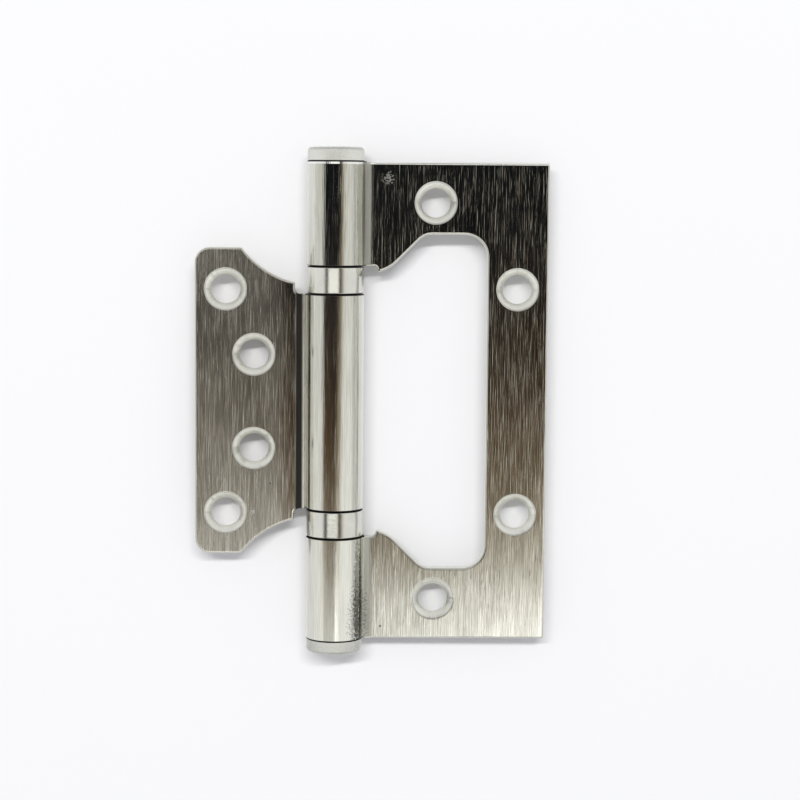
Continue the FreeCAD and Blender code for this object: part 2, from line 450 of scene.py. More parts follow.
@dataclass(frozen=True)
class TurnedMetal:
    """Metal turned or ground round the pin, with fine rings round it.

    The lean is how far each fine ring slants towards the hinge's top, so that the metal mirrors
    the light from there.
    """

    name: str
    tone: Colour
    shade: Colour
    roughness: float
    ring_pitch: float = 0.06 * MM
    ring_depth: float = 0.004 * MM
    ring_break: float = 1.5 * MM
    lean: float = 0.0
    outward: bool = False
    joints: Joints = Joints(())

    def material(self) -> bpy.types.Material:
        """Make the material."""
        made = bpy.data.materials.new(self.name)
        made.use_nodes = True
        graph = Graph(made.node_tree)
        place = graph.term("ShaderNodeTexCoord", output="Object")
        broken = 1 / self.ring_break
        rings = graph.noise(place, (broken, 1 / self.ring_pitch, broken), 3)
        cloud = graph.noise(place, (300, 300, 300), 3)
        # Painted shade: the joints at this part's ends are darkened to near black.
        painted_shade = self.joints.mask(graph, place)
        colour = graph.mix((cloud * 0.6 + rings * 0.4).ramp(0.3, 0.7), self.shade, self.tone)
        colour = graph.mix(painted_shade, colour, (0.02, 0.018, 0.016))
        roughness = (rings - 0.5) * 0.1 + (cloud - 0.5) * 0.08 + self.roughness + painted_shade * 0.3
        height = graph.split(place)[1]
        leant = height.maths("ABSOLUTE", height) if self.outward else height
        relief = rings * self.ring_depth - leant * math.tan(self.lean)
        bump = graph.term("ShaderNodeBump", inputs={"Strength": 1.0, "Distance": 1.0, "Height": relief})
        metal = graph.node("ShaderNodeBsdfPrincipled", inputs={
            "Base Color": colour,
            "Metallic": 1.0,
            "Roughness": roughness,
            "Normal": bump,
        })
        graph.node("ShaderNodeOutputMaterial", inputs={0: metal.outputs[0]})
        return made


def shown(name: str, mesh: bpy.types.Mesh) -> bpy.types.Object:
    """Put a mesh in the scene.

    Args:
        name: The object's name.
        mesh: Its mesh, in place.

    Returns:
        The new object, at the origin.
    """
    made = bpy.data.objects.new(name, mesh)
    bpy.context.scene.collection.objects.link(made)
    return made


def settled(piece: bpy.types.Object) -> bpy.types.Object:
    """Even out a piece's shading and turn its modifiers into plain mesh.

    Args:
        piece: The piece, whose modifiers are live.

    Returns:
        The same piece, as a plain mesh.
    """
    weighted = piece.modifiers.new("weighted normals", "WEIGHTED_NORMAL")
    weighted.keep_sharp = True
    weighted.weight = 100
    scene_graph = bpy.context.evaluated_depsgraph_get()
    mesh = bpy.data.meshes.new_from_object(piece.evaluated_get(scene_graph), depsgraph=scene_graph)
    piece.modifiers.clear()
    piece.data = mesh
    mesh.name = piece.name
    return piece


def placed(piece: bpy.types.Object, body: str, nodes: list[str]) -> None:
    """Tie a finished piece to the construction.

    Args:
        piece: The piece.
        body: The body that it moves with.
        nodes: The nodes that it stands for.
    """
    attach(piece, body)
    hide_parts(*nodes)
    log.info("%s: %d faces, on %s, for %s", piece.name, len(piece.data.polygons), body, ", ".join(nodes))


class Shape:
    """A tree of geometry nodes with named inputs, and the modifier that runs it on a piece."""

    def __init__(self, name: str) -> None:
        """Start an empty tree."""
        self.tree = bpy.data.node_groups.new(name, "GeometryNodeTree")
        self.graph = Graph(self.tree)
        self.tree.interface.new_socket("Geometry", in_out="INPUT", socket_type="NodeSocketGeometry")
        self.tree.interface.new_socket("Geometry", in_out="OUTPUT", socket_type="NodeSocketGeometry")
        self.values: dict[str, Any] = {}

    def inputs(self, values: dict[str, Any]) -> dict[str, Term]:
        """Give the tree its named inputs.

        Args:
            values: Value of each input. A whole number makes a whole-number input.

        Returns:
            Each input as a term, with the piece's own mesh under Geometry.
        """
        kinds = {int: "NodeSocketInt", float: "NodeSocketFloat", bpy.types.Material: "NodeSocketMaterial"}
        for name, value in values.items():
            item = self.tree.interface.new_socket(name, in_out="INPUT", socket_type=kinds[type(value)])
            self.values[item.identifier] = value
        node = self.graph.node("NodeGroupInput")
        return {socket.name: Term(self.graph, socket) for socket in node.outputs if socket.name}

    def finish(self, geometry: Term, material: Term) -> None:
        """End the tree.

        Args:
            geometry: What the tree has made.
            material: The material that it all gets.
        """
        angle = self.graph.term("GeometryNodeInputMeshEdgeAngle")
        smooth = self.graph.term("GeometryNodeSetShadeSmooth", {"domain": "FACE"}, {0: geometry, 2: True})
        creased = self.graph.term("GeometryNodeSetShadeSmooth", {"domain": "EDGE"},
                                  {0: smooth, 1: angle > SMOOTH_BELOW, 2: False})
        real = self.graph.term("GeometryNodeRealizeInstances", inputs={0: creased})
        dressed = self.graph.term("GeometryNodeSetMaterial", inputs={0: real, "Material": material})
        self.graph.node("NodeGroupOutput", inputs={0: dressed})

    def run_on(self, piece: bpy.types.Object) -> None:
        """Add the tree to a piece, with its inputs set."""
        modifier = piece.modifiers.new(self.tree.name, "NODES")
        modifier.node_group = self.tree
        for identifier, value in self.values.items():
            modifier[identifier] = value


@dataclass(frozen=True)
class Sheet:
    """What both leaves share: the sheet, and the way that it is bent and rolled."""

    thickness: float
    knuckle_radius: float
    bend_radius: float = 3.8 * MM
    seam_gap: float = 0.15 * MM
    front_round: float = 0.5 * MM
    back_round: float = 0.25 * MM
    rolled_round: float = 0.16 * MM
    notch_round: float = 1.1 * MM
    slice_turn: float = math.radians(3)
    rim_steps: int = 5

    @property
    def half(self) -> float:
        """Half the sheet's thickness."""
        return self.thickness / 2

    @property
    def roll_line(self) -> float:
        """Radius of the sheet's middle line round the pin."""
        return self.knuckle_radius - self.half

    @property
    def bend_line(self) -> float:
        """Radius of the sheet's middle line round the bend."""
        return self.bend_radius + self.half

    @property
    def between_centres(self) -> float:
        """Distance from the pin's axis to the bend's."""
        return self.roll_line + self.bend_line

    @property
    def bend_start(self) -> float:
        """Distance from the pin to the line where the flat ends."""
        return math.sqrt(self.between_centres ** 2 - self.bend_line ** 2)

    @property
    def meet(self) -> float:
        """Angle round the pin at which the bend turns into the roll."""
        return math.atan2(-self.bend_line, self.bend_start)

    @property
    def bend_length(self) -> float:
        """Length of the bend along the sheet."""
        return self.bend_line * (math.pi / 2 + self.meet)

    @property
    def roll_turn(self) -> float:
        """Angle that the roll takes round the pin, up to the seam."""
        far = self.bend_radius + self.thickness + self.seam_gap
        cosine = (self.knuckle_radius ** 2 + self.between_centres ** 2 - far ** 2) / (
            2 * self.knuckle_radius * self.between_centres
        )
        return 2 * math.pi - math.acos(cosine)

    @property
    def blank_end(self) -> float:
        """Place of the rolled edge on the flat blank."""
        return self.bend_start - self.bend_length - self.roll_turn * self.roll_line

    def rounds_at(self, place: float) -> tuple[float, float]:
        """How far the rims are rounded.

        Args:
            place: Distance along the blank.

        Returns:
            The rounds of the front and back rims.
        """
        share = min(max((place - self.bend_start) / MM + 1, 0), 1)
        return (
            self.rolled_round + (self.front_round - self.rolled_round) * share,
            self.rolled_round + (self.back_round - self.rolled_round) * share,
        )

    def slices(self) -> list[float]:
        """Places on the blank where it is cut so that it bends smoothly."""
        bend_count = round((math.pi / 2 + self.meet) / self.slice_turn)
        roll_count = round(self.roll_turn / self.slice_turn)
        bend = [self.bend_start - self.bend_length * k / bend_count for k in range(bend_count + 1)]
        step = self.roll_turn * self.roll_line / roll_count
        return bend + [bend[-1] - step * k for k in range(1, roll_count)]


@dataclass(frozen=True)
class Holes:
    """Two mirrored pairs of sunk screw holes: far from the pin, and near it."""

    radius: float
    far_reach: float
    far_spacing: float
    near_reach: float
    near_spacing: float
    head_radius: float = 4.5 * MM
    rim_drop: float = 0.06 * MM
    rim_width: float = 0.14 * MM
    sides: int = 96


def at_angle(centre: Vector, radius: float, degrees: float) -> Vector:
    """Point at an angle round a centre."""
    turn = math.radians(degrees)
    return centre + Vector((math.cos(turn), math.sin(turn))) * radius


def rounded_path(corners: list[tuple[Vector, float]], step: float = math.radians(6)) -> list[Vector]:
    """Path through corners, each rounded by its own radius.

    Args:
        corners: Place and radius of each corner, in order. The ends have no radius.
        step: Largest turn between two points of a round.

    Returns:
        The points of the path.
    """
    path = []
    for index, (here, radius) in enumerate(corners):
        if radius == 0:
            path.append(here)
            continue
        back = (corners[index - 1][0] - here).normalized()
        ahead = (corners[index + 1][0] - here).normalized()
        half = back.angle(ahead) / 2
        centre = here + (back + ahead).normalized() * (radius / math.sin(half))
        start = here + back * (radius / math.tan(half)) - centre
        turn = Vector((1, 0)).angle_signed(here + ahead * (radius / math.tan(half)) - centre)
        turn = -(turn - Vector((1, 0)).angle_signed(start))
        turn = (turn + math.pi) % (2 * math.pi) - math.pi
        count = math.ceil(abs(turn) / step)
        path += [centre + Matrix.Rotation(turn * k / count, 2) @ start for k in range(count + 1)]
    return path


def arc(centre: Vector, radius: float, start: float, end: float, count: int) -> list[tuple[Vector, float]]:
    """Sharp corners along an arc.

    Args:
        centre: The arc's centre.
        radius: Its radius.
        start: Its first angle, in degrees.
        end: Its last angle, in degrees.
        count: How many stretches it is made of.

    Returns:
        The corners, both ends included.
    """
    return [(at_angle(centre, radius, start + (end - start) * k / count), 0.0) for k in range(count + 1)]


class Leaf:
    """A leaf of the hinge. Its own outline comes from the class that builds on this one."""

    def __init__(self, name: str, side: Side, sheet: Sheet, holes: Holes, finish: BrushedSteel) -> None:
        """Settle what the leaf is made from."""
        self.name = name
        self.side = side
        self.sheet = sheet
        self.holes = holes
        self.finish = finish

    def upper_outline(self) -> list[tuple[Vector, float]]:
        """Corners of the blank's upper half, the way round that keeps the sheet on the left."""
        raise NotImplementedError

    def outline(self) -> list[Vector]:
        """Whole outline of the flat blank."""
        upper = rounded_path(self.upper_outline())
        lower = [Vector((point.x, -point.y)) for point in reversed(upper)]
        return [point for point in upper + lower if abs(point.y) > SAME_PLACE]

    def blank(self) -> bpy.types.Mesh:
        """Cut out the flat blank, round its rims, and slice it where it will bend."""
        outline = self.outline()
        inward = []
        for index, here in enumerate(outline):
            before = (here - outline[index - 1]).normalized()
            after = (outline[(index + 1) % len(outline)] - here).normalized()
            sides = [Vector((-way.y, way.x)) for way in (before, after)]
            inward.append((sides[0] + sides[1]) / (1 + sides[0].dot(sides[1])))
        turns = [math.pi / 2 * step / self.sheet.rim_steps for step in range(self.sheet.rim_steps + 1)]
        model = bmesh.new()
        rings = []
        for front, turn in [(True, turn) for turn in turns] + [(False, turn) for turn in reversed(turns)]:
            ring = []
            for here, way in zip(outline, inward):
                rim = self.sheet.rounds_at(here.x)[0 if front else 1]
                spot = here + way * (rim * (1 - math.sin(turn)))
                height = self.sheet.half - rim * (1 - math.cos(turn))
                ring.append(model.verts.new(Vector((*spot, height if front else -height)) / MM))
            rings.append(ring)
        model.faces.new(rings[0])
        model.faces.new(reversed(rings[-1]))
        for upper, lower in zip(rings, rings[1:]):
            for index in range(len(outline)):
                last = index - 1
                model.faces.new((upper[last], lower[last], lower[index], upper[index]))
        for place in self.sheet.slices():
            parts = model.verts[:] + model.edges[:] + model.faces[:]
            bmesh.ops.bisect_plane(model, geom=parts, dist=1e-5, plane_co=(place / MM, 0, 0), plane_no=(1, 0, 0))
        mesh = bpy.data.meshes.new(self.name)
        model.to_mesh(mesh)
        model.free()
        return mesh

    def sink_holes(self, graph: Graph, blank: Term, size: dict[str, Term]) -> Term:
        """Sink the screw holes into the blank.

        Args:
            graph: The shape's graph.
            blank: The flat blank.
            size: The shape's named inputs.

        Returns:
            The blank with its holes.
        """
        pairs = []
        for pair in ("Far", "Near"):
            start = graph.join(size[f"{pair} Reach"], size[f"{pair} Spacing"] * -0.5, 0.0)
            along = graph.join(0.0, size[f"{pair} Spacing"], 0.0)
            pairs.append(graph.term("GeometryNodeMeshLine", inputs={
                "Count": 2, "Start Location": start, "Offset": along,
            }))
        places = graph.term("GeometryNodeJoinGeometry", inputs={0: pairs})
        half, hole, head = size["Half Sheet"], size["Hole Radius"], size["Head Radius"]
        sides, past = size["Hole Sides"], size["Rim Drop"]
        bore = graph.term("GeometryNodeMeshCylinder", inputs={
            "Vertices": sides, "Radius": hole, "Depth": half * 4,
        })
        sink = graph.term("GeometryNodeMeshCone", inputs={
            "Vertices": sides, "Radius Bottom": hole - past, "Radius Top": head + past,
            "Depth": head - hole + past * 2,
        })
        slope = size["Rim Width"] / past
        rim = graph.term("GeometryNodeMeshCone", inputs={
            "Vertices": sides, "Radius Bottom": head - past - slope * past,
            "Radius Top": head - past + slope * past * 2, "Depth": past * 3,
        })
        solid = blank
        for tool, foot in ((bore, 0.0), (sink, half - head + hole - past), (rim, half - past * 2)):
            moved = graph.term("GeometryNodeTransform", inputs={0: tool, "Translation": graph.join(0.0, 0.0, foot)})
            copies = graph.term("GeometryNodeInstanceOnPoints", inputs={"Points": places, "Instance": moved})
            real = graph.term("GeometryNodeRealizeInstances", inputs={0: copies})
            settings = {"operation": "DIFFERENCE", "solver": "MANIFOLD"}
            solid = graph.term("GeometryNodeMeshBoolean", settings, {0: solid, 1: real})
        return solid

    def roll(self, graph: Graph, blank: Term, size: dict[str, Term]) -> Term:
        """Bend the blank to the back, and roll its end round the pin.

        Args:
            graph: The shape's graph.
            blank: The flat blank with its holes.
            size: The shape's named inputs.

        Returns:
            The finished leaf.
        """
        along, y, height = graph.split(graph.term("GeometryNodeInputPosition"))
        start, bend_line, roll_line = size["Bend Start"], size["Bend Line"], size["Roll Line"]
        past = (start - along).maths("MAXIMUM", start - along, 0.0)
        bent = past.maths("MINIMUM", past, size["Bend Length"])
        turn = bent / bend_line
        out = bend_line + height
        bend_x = start - out * turn.maths("SINE", turn)
        bend_z = out * turn.maths("COSINE", turn) - bend_line
        turn = size["Meet Angle"] - (past - bent) / roll_line
        out = roll_line - height
        is_rolled = past > size["Bend Length"]
        is_flat = past.maths("LESS_THAN", past, 1e-5)
        is_bent = 1 - is_rolled - is_flat
        x = along * is_flat + bend_x * is_bent + out * turn.maths("COSINE", turn) * is_rolled
        z = height * is_flat + bend_z * is_bent + out * turn.maths("SINE", turn) * is_rolled
        place = graph.join(x * size["Side"] * MM, y * MM, z * MM)
        rolled = graph.term("GeometryNodeSetPosition", inputs={0: blank, "Position": place})
        turned = graph.term("GeometryNodeFlipFaces", inputs={0: rolled})
        mirrored = size["Side"].maths("LESS_THAN", size["Side"], 0.0)
        return graph.term("GeometryNodeSwitch", {"input_type": "GEOMETRY"}, {0: mirrored, 1: rolled, 2: turned})

    def build(self) -> bpy.types.Object:
        """Make the leaf."""
        shape = Shape(f"{self.name}_shape")
        lengths = {
            "Hole Radius": self.holes.radius,
            "Head Radius": self.holes.head_radius,
            "Rim Drop": self.holes.rim_drop,
            "Rim Width": self.holes.rim_width,
            "Far Reach": self.holes.far_reach,
            "Far Spacing": self.holes.far_spacing,
            "Near Reach": self.holes.near_reach,
            "Near Spacing": self.holes.near_spacing,
            "Half Sheet": self.sheet.half,
            "Bend Start": self.sheet.bend_start,
            "Bend Line": self.sheet.bend_line,
            "Bend Length": self.sheet.bend_length,
            "Roll Line": self.sheet.roll_line,
        }
        size = shape.inputs({
            **{name: length / MM for name, length in lengths.items()},
            "Hole Sides": self.holes.sides,
            "Meet Angle": self.sheet.meet,
            "Side": float(self.side.value),
            "Steel": self.finish.material(),
        })
        blank = self.sink_holes(shape.graph, size["Geometry"], size)
        shape.finish(self.roll(shape.graph, blank, size), size["Steel"])
        piece = shown(f"rolled_{self.name}", self.blank())
        shape.run_on(piece)
        settled(piece)
        placed(piece, self.name, [self.name])
        return piece


@dataclass(frozen=True)
class OuterOutline:
    """Outline of the outer leaf: a frame round a window, with an arm to each of its two knuckles."""

    reach: float
    half_leaf: float
    knuckle_start: float
    window_reach: float = 32.1 * MM
    half_window: float = 35.55 * MM
    corner_round: float = 4.9 * MM
    ramp_angle: float = 45.0
    ramp_round: float = 4.0 * MM
    lip_past_bend: float = 0.44 * MM
    lip_length: float = 1.35 * MM
    lip_angle: float = 12.0
    lip_radius: float = 8.3 * MM
    lip_steps: int = 8


class OuterLeaf(Leaf):
    """The large leaf, with the window that the small leaf folds into."""

    def __init__(self, shape: OuterOutline, **made_from: Any) -> None:
        """Settle the leaf's outline and what it is made from."""
        super().__init__(**made_from)
        self.shape = shape

    def upper_outline(self) -> list[tuple[Vector, float]]:
        """Corners of the blank's upper half."""
        own, sheet = self.shape, self.sheet
        lip = sheet.bend_start + own.lip_past_bend
        lip_tip = Vector((lip, own.knuckle_start - own.lip_length))
        lip_centre = at_angle(lip_tip, own.lip_radius, own.lip_angle + 90)
        lip_arc = arc(lip_centre, own.lip_radius, own.lip_angle - 90, own.ramp_angle - 90, own.lip_steps)
        foot = lip_arc[-1][0]
        run = (own.half_window - foot.y) / math.tan(math.radians(own.ramp_angle))
        return [
            (Vector((own.reach, 0)), 0.0),
            (Vector((own.reach, own.half_leaf)), 0.0),
            (Vector((sheet.bend_start, own.half_leaf)), 0.0),
            (Vector((sheet.bend_start - MM, own.half_leaf)), 0.0),
            (Vector((sheet.blank_end, own.half_leaf)), 0.0),
            (Vector((sheet.blank_end, own.knuckle_start)), 0.0),
            (Vector((sheet.bend_start - 2 * MM, own.knuckle_start)), 0.0),
            (Vector((lip, own.knuckle_start)), sheet.notch_round),
            *lip_arc,
            (Vector((foot.x + run, own.half_window)), own.ramp_round),
            (Vector((own.window_reach, own.half_window)), own.corner_round),
            (Vector((own.window_reach, 0)), 0.0),
        ]


@dataclass(frozen=True)
class InnerOutline:
    """Outline of the inner leaf: a plate with hollowed shoulders, narrower at its one knuckle."""

    reach: float
    half_leaf: float
    half_knuckle: float
    corner_round: float = 3.2 * MM
    shoulder_reach: float = 19.9 * MM
    shoulder_round: float = 0.6 * MM
    hollow_radius: float = 20 * MM
    lip_past_bend: float = 0.14 * MM
    lip_length: float = 2.4 * MM
    hollow_steps: int = 9


class InnerLeaf(Leaf):
    """The small leaf, which folds into the window of the large one."""

    def __init__(self, shape: InnerOutline, **made_from: Any) -> None:
        """Settle the leaf's outline and what it is made from."""
        super().__init__(**made_from)
        self.shape = shape

    def upper_outline(self) -> list[tuple[Vector, float]]:
        """Corners of the blank's upper half."""
        own, sheet = self.shape, self.sheet
        lip = sheet.bend_start + own.lip_past_bend
        lip_tip = Vector((lip, own.half_knuckle + own.lip_length))
        shoulder = Vector((own.shoulder_reach, own.half_leaf))
        chord = shoulder - lip_tip
        rise = math.sqrt(own.hollow_radius ** 2 - chord.length ** 2 / 4)
        centre = (lip_tip + shoulder) / 2 + Vector((-chord.y, chord.x)).normalized() * rise
        start, end = (math.degrees(math.atan2(p.y - centre.y, p.x - centre.x)) for p in (shoulder, lip_tip))
        hollow = arc(centre, own.hollow_radius, start, end, own.hollow_steps)
        return [
            (Vector((own.reach, 0)), 0.0),
            (Vector((own.reach, own.half_leaf)), own.corner_round),
            (shoulder, own.shoulder_round),
            *hollow[1:],
            (Vector((lip, own.half_knuckle)), sheet.notch_round),
            (Vector((sheet.bend_start - 2 * MM, own.half_knuckle)), 0.0),
            (Vector((sheet.blank_end, own.half_knuckle)), 0.0),
            (Vector((sheet.blank_end, 0)), 0.0),
        ]


def corner_round(corner: tuple[float, float], radius: float, start: float, end: float, steps: int = 6) -> Profile:
    """Quarter round of a turned profile.

    Args:
        corner: Centre of the round, as radius and height.
        radius: The round's radius.
        start: First angle in degrees, from the outward direction.
        end: Last angle in degrees.
        steps: How many stretches it has.

    Returns:
        Its points.
    """
    turns = [math.radians(start + (end - start) * step / steps) for step in range(steps + 1)]
    return [(corner[0] + radius * math.cos(turn), corner[1] + radius * math.sin(turn)) for turn in turns]


def lathe(name: str, profile: Profile, closed: bool, mirrored: bool, sides: int = 144) -> bpy.types.Mesh:
    """Mesh turned about the pin's axis.

    Args:
        name: The mesh's name.
        profile: Radius and height of each point, from below and going up on the outside.
        closed: Whether the profile is a loop, as a ring's is, or ends on the axis.
        mirrored: Whether the turned shape is mirrored to the pin's other end.
        sides: How many sides it has.

    Returns:
        The mesh, with its faces outward.
    """
    model = bmesh.new()
    sign = -1 if mirrored else 1
    rings = []
    for radius, height in profile:
        if radius < SAME_PLACE:
            rings.append([model.verts.new((0, height * sign, 0))] * sides)
            continue
        turns = [2 * math.pi * side / sides for side in range(sides)]
        rings.append([
            model.verts.new((radius * math.cos(turn), height * sign, radius * math.sin(turn))) for turn in turns
        ])
    pairs = list(zip(rings, rings[1:]))
    if closed:
        pairs.append((rings[-1], rings[0]))
    for lower, upper in pairs:
        for side in range(sides):
            loop = [lower[side - 1], lower[side], upper[side], upper[side - 1]]
            model.faces.new(list(dict.fromkeys(loop)))
    bmesh.ops.recalc_face_normals(model, faces=model.faces[:])
    for edge in model.edges:
        edge.smooth = edge.calc_face_angle(0) < SMOOTH_BELOW
    for face in model.faces:
        face.smooth = True
    mesh = bpy.data.meshes.new(name)
    model.to_mesh(mesh)
    model.free()
    return mesh


@dataclass(frozen=True)
class Tips:
    """The turned buttons that close both ends of the barrel."""

    radius: float
    seat: float
    end: float
    foot: float
    spigot_radius: float
    finish: TurnedMetal
    end_round: float = 0.8 * MM
    seat_round: float = 0.15 * MM
    line_inset: float = 1.25 * MM
    line_width: float = 0.18 * MM
    line_depth: float = 0.06 * MM

    def profile(self) -> Profile:
        """Outline of one button: a spigot, a disc with a rounded rim, and a fine turned line."""
        line = self.radius - self.line_inset
        return [
            (0, self.foot),
            *corner_round((self.spigot_radius - self.seat_round, self.foot + self.seat_round),
                          self.seat_round, -90, 0, 3),
            (self.spigot_radius, self.seat),
            *corner_round((self.radius - self.seat_round, self.seat + self.seat_round),
                          self.seat_round, -90, 0, 4),
            *corner_round((self.radius - self.end_round, self.end - self.end_round),
                          self.end_round, 0, 90, 8),
            (line + self.line_width / 2, self.end),
            (line, self.end - self.line_depth),
            (line - self.line_width / 2, self.end),
            (0, self.end),
        ]

    def build(self) -> None:
        """Make both buttons."""
        material = self.finish.material()
        for name, mirrored in (("top_tip", False), ("bottom_tip", True)):
            mesh = lathe(f"turned_{name}", self.profile(), False, mirrored)
            mesh.materials.append(material)
            piece = settled(shown(f"turned_{name}", mesh))
            placed(piece, "outer_leaf", [name])


@dataclass(frozen=True)
class Bearing:
    """One ball bearing between two knuckles, in its bright case."""

    side: Side
    bottom: float
    top: float
    case_radius: float
    wall: float
    ball_radius: float
    ball_circle: float
    ball_count: int
    middle: float
    case_finish: TurnedMetal
    ball_finish: TurnedMetal
    race_finish: TurnedMetal
    cage_finish: TurnedMetal
    rim_round: float = 0.3 * MM
    ball_segments: int = 24
    ball_rings: int = 16

    @property
    def name(self) -> str:
        """Which bearing it is."""
        return "upper" if self.side is Side.PLUS else "lower"

    def case(self) -> None:
        """Make the case: a thin sleeve with rounded rims."""
        bore = self.case_radius - self.wall
        profile = [
            (bore, self.bottom),
            *corner_round((self.case_radius - self.rim_round, self.bottom + self.rim_round), self.rim_round, -90, 0),
            *corner_round((self.case_radius - self.rim_round, self.top - self.rim_round), self.rim_round, 0, 90),
            (bore, self.top),
        ]
        mesh = lathe(f"bright_{self.name}_case", profile, True, self.side is Side.MINUS)
        mesh.materials.append(self.case_finish.material())
        piece = settled(shown(f"bright_{self.name}_case", mesh))
        placed(piece, "outer_leaf", [f"{self.name}_bearing_case"])

    def balls(self) -> None:
        """Make the ring of balls, which rolls at half the leaf's turn."""
        shape = Shape(f"{self.name}_balls_shape")
        size = shape.inputs({
            "Ball Count": self.ball_count,
            "Ball Radius": self.ball_radius,
            "Circle Radius": self.ball_circle,
            "Middle": self.middle * self.side.value,
            "Segments": self.ball_segments,
            "Rings": self.ball_rings,
            "Steel": self.ball_finish.material(),
        })
        graph = shape.graph
        circle = graph.term("GeometryNodeMeshCircle", inputs={0: size["Ball Count"], 1: size["Circle Radius"]})
        stood = graph.term("GeometryNodeTransform", inputs={
            0: circle, "Translation": graph.join(0.0, size["Middle"], 0.0), "Rotation": (math.pi / 2, 0, 0),
        })
        ball = graph.term("GeometryNodeMeshUVSphere", inputs={
            "Segments": size["Segments"], "Rings": size["Rings"], "Radius": size["Ball Radius"],
        })
        balls = graph.term("GeometryNodeInstanceOnPoints", inputs={"Points": stood, "Instance": ball})
        shape.finish(graph.term("GeometryNodeRealizeInstances", inputs={0: balls}), size["Steel"])
        piece = shown(f"{self.name}_balls", bpy.data.meshes.new(f"{self.name}_balls"))
        shape.run_on(piece)
        settled(piece)
        nodes = [f"{self.name}_ball_{number + 1}" for number in range(self.ball_count)]
        placed(piece, f"{self.name}_ball_train", nodes)

    def build(self, nodes: dict[str, bpy.types.Object]) -> None:
        """Make the bearing's pieces, and dress the ones that stay as they are.

        Args:
            nodes: The construction's nodes by name.
        """
        self.case()
        self.balls()
        for end in ("top", "bottom"):
            dress(nodes[f"{self.name}_bearing_{end}_race"], self.race_finish)
        dress(nodes[f"{self.name}_ball_cage"], self.cage_finish)


def dress(node: bpy.types.Object, finish: TurnedMetal) -> None:
    """Give a node of the construction its finish.

    Args:
        node: The node's object, which keeps its shape.
        finish: Its finish.
    """
    material = bpy.data.materials.get(finish.name) or finish.material()
    node.data.materials.clear()
    node.data.materials.append(material)
    log.info("%s keeps its shape and gets %s", node.name, finish.name)


